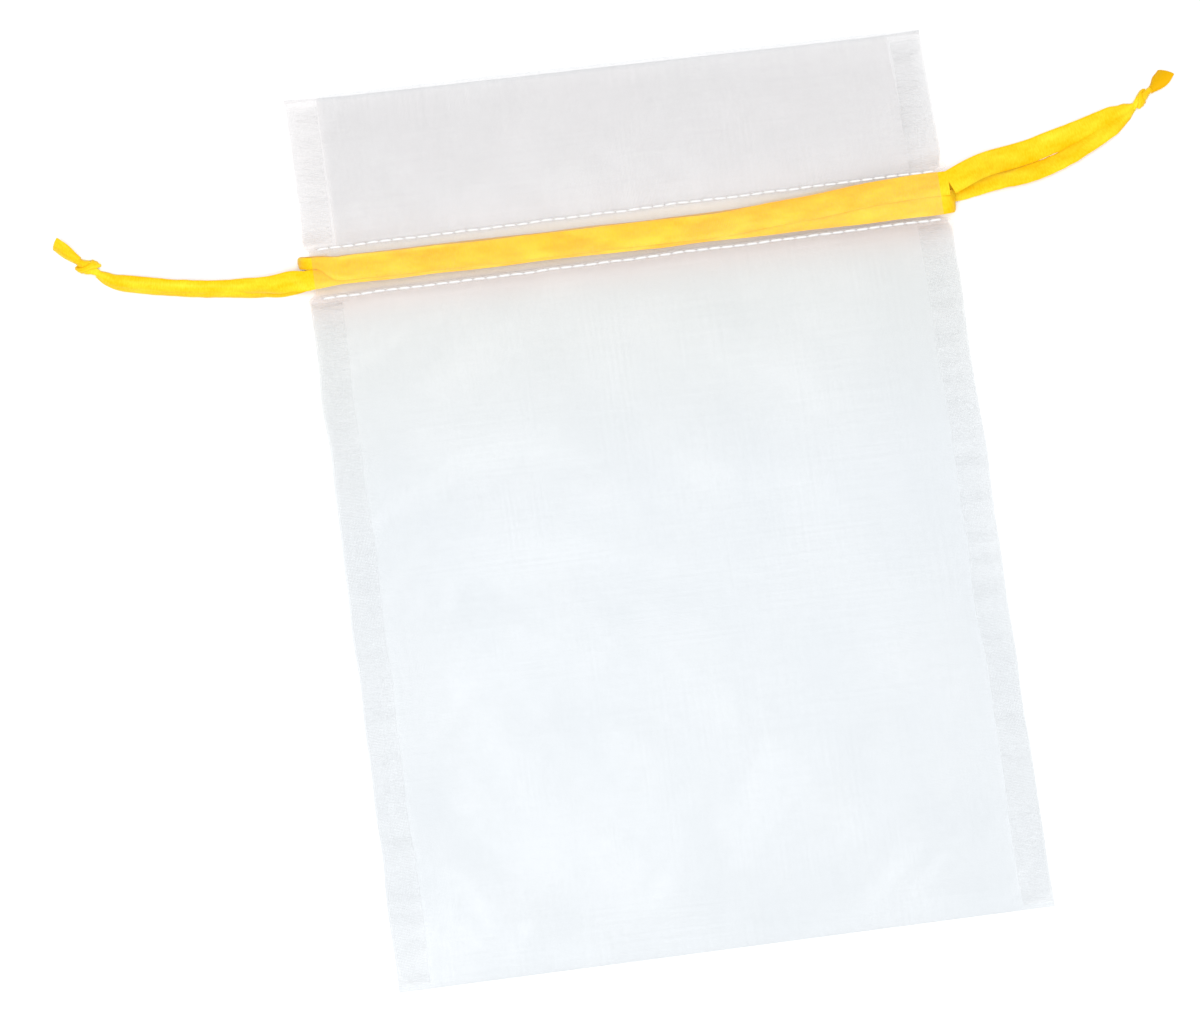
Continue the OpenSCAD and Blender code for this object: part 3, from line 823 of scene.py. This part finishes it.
def make_knot(name, centre, turn, girth, material):
    """Overhand knot: a bundle of folded ribbon along the pull, with one turn wrapped over it."""
    direction = np.array([math.cos(turn), math.sin(turn), 0.0])
    sideways = np.array([-direction[1], direction[0], 0.0])
    up = np.array([0.0, 0.0, 1.0])
    # the bundle
    rings, around = 30, 28
    t = np.linspace(-1, 1, rings)[:, None]
    theta = np.linspace(0, 2 * np.pi, around, endpoint=False)[None, :]
    radius = 0.45 + 0.75 * girth * np.exp(-((t / 0.55) ** 2))
    folds = 1 + 0.13 * np.cos(3 * theta + 2.2 * t) + 0.07 * np.cos(7 * theta - 4 * t + 1)
    r = radius * folds
    at = centre + (2.9 * t)[..., None] * direction - (0.3 * np.abs(t))[..., None] * up
    core = at + (r * np.cos(theta) * 1.15)[..., None] * sideways + (r * np.sin(theta))[..., None] * up
    # the turn wrapped over it
    steps = 72
    a = np.linspace(0, 2 * np.pi, steps, endpoint=False)
    slant = 1.15 * np.cos(a + 0.6)
    wrap_r = 0.25 + girth * (1.05 + 0.12 * np.cos(2 * a + 1))
    path = centre + slant[:, None] * direction + (wrap_r * 1.12 * np.cos(a))[:, None] * sideways
    path = path + (wrap_r * np.sin(a))[:, None] * up
    over = np.linspace(-1, 1, 9)
    bulge = 0.34 * np.sqrt(1.02 - over**2)
    crease = 0.10 * np.cos(2.6 * np.pi * over)[None, :] * (0.6 + 0.4 * np.cos(a + 2))[:, None]
    outward = unit(np.cos(a)[:, None] * sideways + np.sin(a)[:, None] * up)
    band_dir = unit(direction + 0.35 * np.sin(a + 0.6)[:, None] * unit(np.cross(outward, direction)))
    half_band = 1.1 + 0.2 * np.cos(a + 2.5)
    spread = (half_band[:, None] * over[None, :])[..., None] * band_dir[:, None]
    top = path[:, None] + spread + (bulge[None, :] + crease)[..., None] * outward[:, None]
    bottom = path[:, None] + spread * 0.9 - 0.25 * outward[:, None]
    band = np.concatenate([top, bottom[:, ::-1]], 1)
    points, faces = join_meshes([
        (core.reshape(-1, 3), tube_faces(rings, around)),
        (band.reshape(-1, 3), tube_faces(steps, band.shape[1], closed=True)),
    ])
    points[:, 2] = np.maximum(points[:, 2], LOWEST)
    core_uv = np.stack([r * np.cos(theta), 2.9 * t + 0 * theta], -1).reshape(-1, 2)
    band_uv = np.stack(np.broadcast_arrays(
        np.concatenate([over, over[::-1]])[None, :] * 2, (wrap_r * a)[:, None]), -1).reshape(-1, 2)
    piece = make_piece(name + "_overhand", points, faces, material,
                       uv=np.concatenate([core_uv, band_uv]))
    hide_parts(name)
    return piece


TAILS = {
    "left_tails": dict(
        route=[(-109.2, 61.9, 1.2), (-110.8, 63.2, 0.9), (-112.2, 64.4, 0.6), (-113.6, 65.7, 0.3)],
        under=(0.35, -0.3, -0.5), lean=(40, 58), width=(2.4, 3.8), bend=(170, 60), crown=1, shiny=1,
    ),
    "right_tails": dict(
        route=[(110.2, 71.9, 1.2), (111.5, 72.8, 0.9), (112.8, 74, 0.6), (114, 75.4, 0.3)],
        under=(0.3, 0.1, -0.5), lean=(-15, -38), width=(1.8, 4.2), bend=(150, 50), crown=-1, shiny=-1,
    ),
}


def make_tails(name, material):
    """The ribbon's two cut ends, one lying on the other."""
    spec = TAILS[name]
    meshes, uvs = [], []
    for number, shift in enumerate([(0, 0, 0), spec["under"]]):
        route = np.array(spec["route"]) + np.array(shift)
        path, length = curve(route, 26)
        share = length / length[-1]
        lean = np.radians(mix(*spec["lean"], smooth(share)))
        width = mix(*spec["width"], smooth(share * 1.4)) - 0.3 * number
        bend = np.radians(mix(*spec["bend"], smooth(share * 1.3)))
        points, faces, uv = ribbon_mesh(
            path, leaning(path, lean), spec["crown"], width, bend, length, 0.04, 80 + number, spec["shiny"],
        )
        meshes.append((settle_ribbon(points, len(path), 0.55 - 0.45 * number), faces))
        uvs.append(uv)
    points, faces = join_meshes(meshes)
    piece = make_piece(name + "_cut_ends", points, faces, material,
                       uv=np.concatenate(uvs), crisp=True)
    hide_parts(name)
    return piece


# ---------------------------------------------------------------- materials

class Nodes:
    """Shader nodes of one material, with short names for what is used here."""

    def __init__(self, name):
        self.material = bpy.data.materials.new(name)
        self.material.use_nodes = True
        self.tree = self.material.node_tree
        self.tree.nodes.clear()
        self.output = self.tree.nodes.new("ShaderNodeOutputMaterial")

    def add(self, kind, inputs=None, **settings):
        node = self.tree.nodes.new("ShaderNode" + kind)
        for key, value in settings.items():
            setattr(node, key, value)
        for key, value in (inputs or {}).items():
            self.feed(node.inputs[key], value)
        return node

    def feed(self, socket, value):
        if isinstance(value, bpy.types.NodeSocket):
            self.tree.links.new(value, socket)
        else:
            socket.default_value = value

    def math(self, operation, a, b=0.0):
        return self.add("Math", {0: a, 1: b}, operation=operation).outputs[0]

    def ranged(self, value, low, high, to_low, to_high):
        return self.add("MapRange", {
            "Value": value, "From Min": low, "From Max": high, "To Min": to_low, "To Max": to_high,
        }).outputs[0]

    def noise(self, vector, scale, detail=2.0, roughness=0.5):
        return self.add("TexNoise", {
            "Vector": vector, "Scale": scale, "Detail": detail, "Roughness": roughness,
        }).outputs[0]

    def stretched(self, vector, x, y):
        return self.add("Mapping", {"Vector": vector, "Scale": (x, y, 1.0)}).outputs[0]

    def mix_shader(self, share, a, b):
        return self.add("MixShader", {0: share, 1: a, 2: b}).outputs[0]


def weave(nodes, cloth_uv, pitch):
    """0 to 1: how much thread there is at a place, from two sets of threads that cross."""
    place = nodes.add("SeparateXYZ", {0: cloth_uv})
    turns = 2 * math.pi / pitch
    waves = [nodes.math("SINE", nodes.math("MULTIPLY", place.outputs[axis], turns)) for axis in (0, 1)]
    return nodes.ranged(nodes.math("MAXIMUM", *waves), -0.4, 1.0, 0.0, 1.0)


def organza(name, cover, glow, uneven):
    """Sheer cloth: crossing threads with open gaps. cover is the share of plain cloth that is thread and
    glow the share of a thread's light that comes through it. The gaps stand for threads too fine to draw, so
    they hold back a little light, in the colour marked on the piece. Near the ribbons that colour also holds
    painted light and shade, which the threads take too. uneven is how much the threads differ in thickness."""
    nodes = Nodes(name)
    uv = nodes.add("UVMap", uv_map="cloth").outputs[0]
    threads = weave(nodes, uv, 0.3)
    clouds = nodes.noise(nodes.stretched(uv, 0.045, 0.03), 1.0, 3.0, 0.6)
    warp = nodes.noise(nodes.stretched(uv, 1.6, 0.035), 1.0, 1.0)
    weft = nodes.noise(nodes.stretched(uv, 0.035, 1.6), 1.0, 1.0)
    density = nodes.add("Attribute", attribute_name="density").outputs["Fac"]
    share = nodes.ranged(threads, 0, 1, 0.65 * cover, 1.35 * cover)
    share = nodes.math("MULTIPLY", share, nodes.ranged(clouds, 0.35, 0.65, 0.8, 1.3))
    for streak in (warp, weft):
        share = nodes.math("MULTIPLY", share, nodes.ranged(streak, 0.3, 0.7, 1 - uneven, 1 + uneven))
    thicker = nodes.math("ADD", nodes.math("MULTIPLY", density, 2.0), 1.0)
    share = nodes.math("MULTIPLY", share, thicker)
    share = nodes.math("MINIMUM", share, 0.95)
    # The marked colour holds painted light and shade near the ribbons; the gaps, the threads' face and their
    # glow all take it.
    painted = nodes.add("Attribute", attribute_name="gaps_and_painted_light").outputs["Color"]
    face = nodes.add("BsdfDiffuse", {"Color": painted}).outputs[0]
    gloss = nodes.add("BsdfGlossy", {"Color": (0.97, 0.98, 1.0, 1), "Roughness": 0.45}).outputs[0]
    through = nodes.add("BsdfTranslucent", {"Color": painted}).outputs[0]
    fabric = nodes.mix_shader(glow, nodes.mix_shader(0.12, face, gloss), through)
    clearer = nodes.ranged(clouds, 0.35, 0.65, 0.0, 0.14)
    gap_colour = nodes.add("Mix", {0: clearer, 6: painted, 7: (1, 1, 1, 1)}, data_type="RGBA").outputs[2]
    gaps_and_painted_light = nodes.add("BsdfTransparent", {"Color": gap_colour}).outputs[0]
    nodes.feed(nodes.output.inputs[0], nodes.mix_shader(share, gaps_and_painted_light, fabric))
    return nodes.material


def sewing_thread():
    nodes = Nodes("sewing_thread")
    fibre = nodes.noise(nodes.add("TexCoord").outputs["Object"], 4000.0, 2.0)
    bump = nodes.add("Bump", {"Height": fibre, "Strength": 0.3, "Distance": 0.00005}).outputs[0]
    cloth = nodes.add("BsdfPrincipled", {
        "Base Color": (0.97, 0.97, 0.97, 1), "Roughness": 0.55, "Sheen Weight": 0.4, "Normal": bump,
    }).outputs[0]
    through = nodes.add("BsdfTranslucent", {"Color": (0.95, 0.95, 0.95, 1)}).outputs[0]
    nodes.feed(nodes.output.inputs[0], nodes.mix_shader(0.3, cloth, through))
    return nodes.material


def satin():
    """Yellow single-faced satin: long floating threads give its face streaks along the ribbon in its
    roughness and bump, and streaks and patches of painted sheen in its base colour; its back is duller and
    deeper, the deeper colour partly painted shade."""
    nodes = Nodes("satin_ribbon")
    uv = nodes.add("UVMap", uv_map="cloth").outputs[0]
    place = nodes.add("SeparateXYZ", {0: uv})
    dull = nodes.math("GREATER_THAN", place.outputs[0], DULL_SIDE / 2)
    over = nodes.math("SUBTRACT", place.outputs[0], nodes.math("MULTIPLY", dull, DULL_SIDE))
    off_middle = nodes.math("ABSOLUTE", over)
    streaks = nodes.noise(nodes.stretched(uv, 1.1, 3.2), 1.0, 3.0, 0.7)
    painted_sheen_patches = nodes.noise(nodes.stretched(uv, 0.3, 0.11), 1.0, 2.0, 0.5)
    selvedge = nodes.ranged(off_middle, RIBBON_W / 2 - 0.45, RIBBON_W / 2 - 0.3, 0, 1)
    # Painted sheen: the streaks and patches paint paler yellow into the base colour.
    painted_sheen_tone = nodes.math("ADD", nodes.ranged(streaks, 0.3, 0.7, -0.3, 0.4),
                      nodes.ranged(painted_sheen_patches, 0.35, 0.65, 0.1, 0.85))
    painted_sheen_tone = nodes.math("SUBTRACT", painted_sheen_tone, nodes.math("MULTIPLY", selvedge, 0.15))
    face = nodes.add("Mix", {0: painted_sheen_tone, 6: (1.0, 0.57, 0.0, 1), 7: (1.0, 0.81, 0.03, 1)}, data_type="RGBA")
    # The dull back's deeper colour is partly painted shade.
    colour = nodes.add("Mix", {0: dull, 6: face.outputs[2], 7: (0.82, 0.46, 0.0, 1)}, data_type="RGBA")
    weft = nodes.math("SINE", nodes.math("MULTIPLY", place.outputs[1], 2 * math.pi / 0.35))
    height = nodes.math("ADD", nodes.math("MULTIPLY", weft, 0.5), nodes.math("MULTIPLY", selvedge, 2.0))
    height = nodes.math("ADD", height, nodes.math("MULTIPLY", streaks, 1.5))
    bump = nodes.add("Bump", {"Height": height, "Strength": 0.25, "Distance": 0.00008}).outputs[0]
    rough = nodes.math("ADD", nodes.ranged(streaks, 0.3, 0.7, 0.32, 0.48), nodes.math("MULTIPLY", dull, 0.2))
    cloth = nodes.add("BsdfPrincipled", {
        "Base Color": colour.outputs[2], "Roughness": rough, "Specular IOR Level": 0.25,
        "Specular Tint": (1, 0.85, 0.35, 1), "Normal": bump,
    }).outputs[0]
    through = nodes.add("BsdfTranslucent", {"Color": (1.0, 0.55, 0.0, 1)}).outputs[0]
    nodes.feed(nodes.output.inputs[0], nodes.mix_shader(0.18, cloth, through))
    return nodes.material


# ---------------------------------------------------------------- camera, light and floor

CAMERA_TURN = (-10.79, 4.63, 7.92)  # degrees about X, Y and Z
CAMERA_OFFSET = (0.0129, 0.0034, -0.9)  # the pouch's origin as the camera sees it, in metres
FOCAL_LENGTH = 135.9


def set_camera():
    """Long lens almost straight above, turned as the picture was taken."""
    turns = [Matrix.Rotation(math.radians(a), 4, axis) for a, axis in zip(CAMERA_TURN, "XYZ")]
    view = turns[0] @ turns[1] @ turns[2]
    view.translation = CAMERA_OFFSET
    lens = bpy.data.cameras.new("camera")
    lens.sensor_fit = "HORIZONTAL"
    lens.sensor_width = 36
    lens.lens = FOCAL_LENGTH
    lens.clip_start = 0.05
    camera = add_object("camera", lens)
    camera.matrix_world = view.inverted()
    bpy.context.scene.camera = camera


def add_softbox(name, place, size, power):
    light = bpy.data.lights.new(name, "AREA")
    light.shape = "RECTANGLE"
    light.size, light.size_y = size
    light.energy = power
    lamp = add_object(name, light)
    lamp.location = place
    lamp.rotation_euler = (-Vector(place)).to_track_quat("-Z", "Y").to_euler()


def set_studio():
    scene = bpy.context.scene
    scene.view_settings.view_transform = "Standard"
    world = bpy.data.worlds.new("studio")
    world.use_nodes = True
    backdrop = world.node_tree.nodes["Background"]
    backdrop.inputs[0].default_value = (0.97, 0.985, 1.0, 1)
    backdrop.inputs[1].default_value = 0.5
    scene.world = world
    add_softbox("key_softbox", (-0.15, -0.2, 1.0), (0.45, 0.45), 9.5)
    add_softbox("fill_softbox", (0.5, 0.4, 0.85), (0.7, 0.7), 1.6)
    nodes = Nodes("white_table")
    paper = nodes.add("BsdfPrincipled", {
        "Base Color": (0.93, 0.93, 0.93, 1), "Roughness": 0.9, "Specular IOR Level": 0.1,
    }).outputs[0]
    nodes.feed(nodes.output.inputs[0], paper)
    half = 3.0
    mesh = bpy.data.meshes.new("table")
    mesh.from_pydata([(-half, -half, 0), (half, -half, 0), (half, half, 0), (-half, half, 0)], [],
                     [(0, 1, 2, 3)])
    mesh.materials.append(nodes.material)
    add_object("table", mesh)


# ---------------------------------------------------------------- the pouch

def build_cloth(materials):
    settled = settle_front()

    def front_outer(x, y):
        free = free_window(y)
        moved = sample(settled, x, y) * free + seam_pucker(x, y) * free
        return front_shape(x, y) + moved + casing_pucker(x, y)

    def back_outer(x, y):
        free = free_window(y)
        ripple = 0.14 * (1 + wobble(x + 0.4 * y, 33, 15)) * (1 - edge_share(x, 12)) * free
        return back_shape(x, y) + np.maximum(ripple, 0) + 0.5 * np.abs(seam_pucker(x, y)) * free

    panels = {
        "front_panel": make_panel("front_panel", front_outer, 1, materials["organza"]),
        "back_panel": make_panel("back_panel", back_outer, -1, materials["organza"]),
    }
    trims = {}
    for hand in ("left", "right"):
        for part in ("body", "header"):
            seam = make_side_seam(hand, part, back_outer, materials["seam"])
            trims[part, hand] = [seam, overlock(hand, part, seam, materials["thread"])]
        for layer, height, side in (("front", front_outer, 1), ("back", back_outer, -1)):
            for level, y in (("upper", UPPER_Y), ("lower", LOWER_Y)):
                row = stitch_row(f"{layer}_{level}_stitches", hand, y, height, side, materials["thread"])
                trims["header", hand].append(row)
    for pieces in panels.values():
        for place, piece in pieces.items():
            gather(piece, *place)
    for place, pieces in trims.items():
        for piece in pieces:
            gather(piece, *place)


def build_ribbons(material):
    for hand, side, back, front, centre, width in (
        ("left", 1, BACK_INNER, FRONT_INNER, left_centre, left_width),
        ("right", -1, BACK_OUTER, FRONT_OUTER, right_centre, right_width),
    ):
        levels = (back + RIBBON_T / 2, front - RIBBON_T / 2)
        piece = make_drawstring(hand + "_drawstring", side, levels, centre, width, material)
        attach(piece, hand + "_ribbon")


def build_pulls(material):
    knots = {"left": (142, 0.95), "right": (40, 0.55)}
    for hand, (turn, girth) in knots.items():
        side, body = SIDES[hand], hand + "_pull"
        centre = np.mean(span(hand + "_knot"), axis=0)
        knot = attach(make_knot(hand + "_knot", centre, math.radians(turn), girth, material), body)
        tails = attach(make_tails(hand + "_tails", material), body)
        for layer in ("front", "back"):
            piece, path, length = make_strand(f"{hand}_pull_{layer}", material)
            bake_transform(piece)


set_camera()
set_studio()
ribbon = satin()
materials = {
    "organza": organza("organza", 0.11, 0.5, 0.09),
    "seam": organza("seam_allowance", 0.2, 0.4, 0.06),
    "thread": sewing_thread(),
}
build_pulls(ribbon)
build_ribbons(ribbon)
build_cloth(materials)
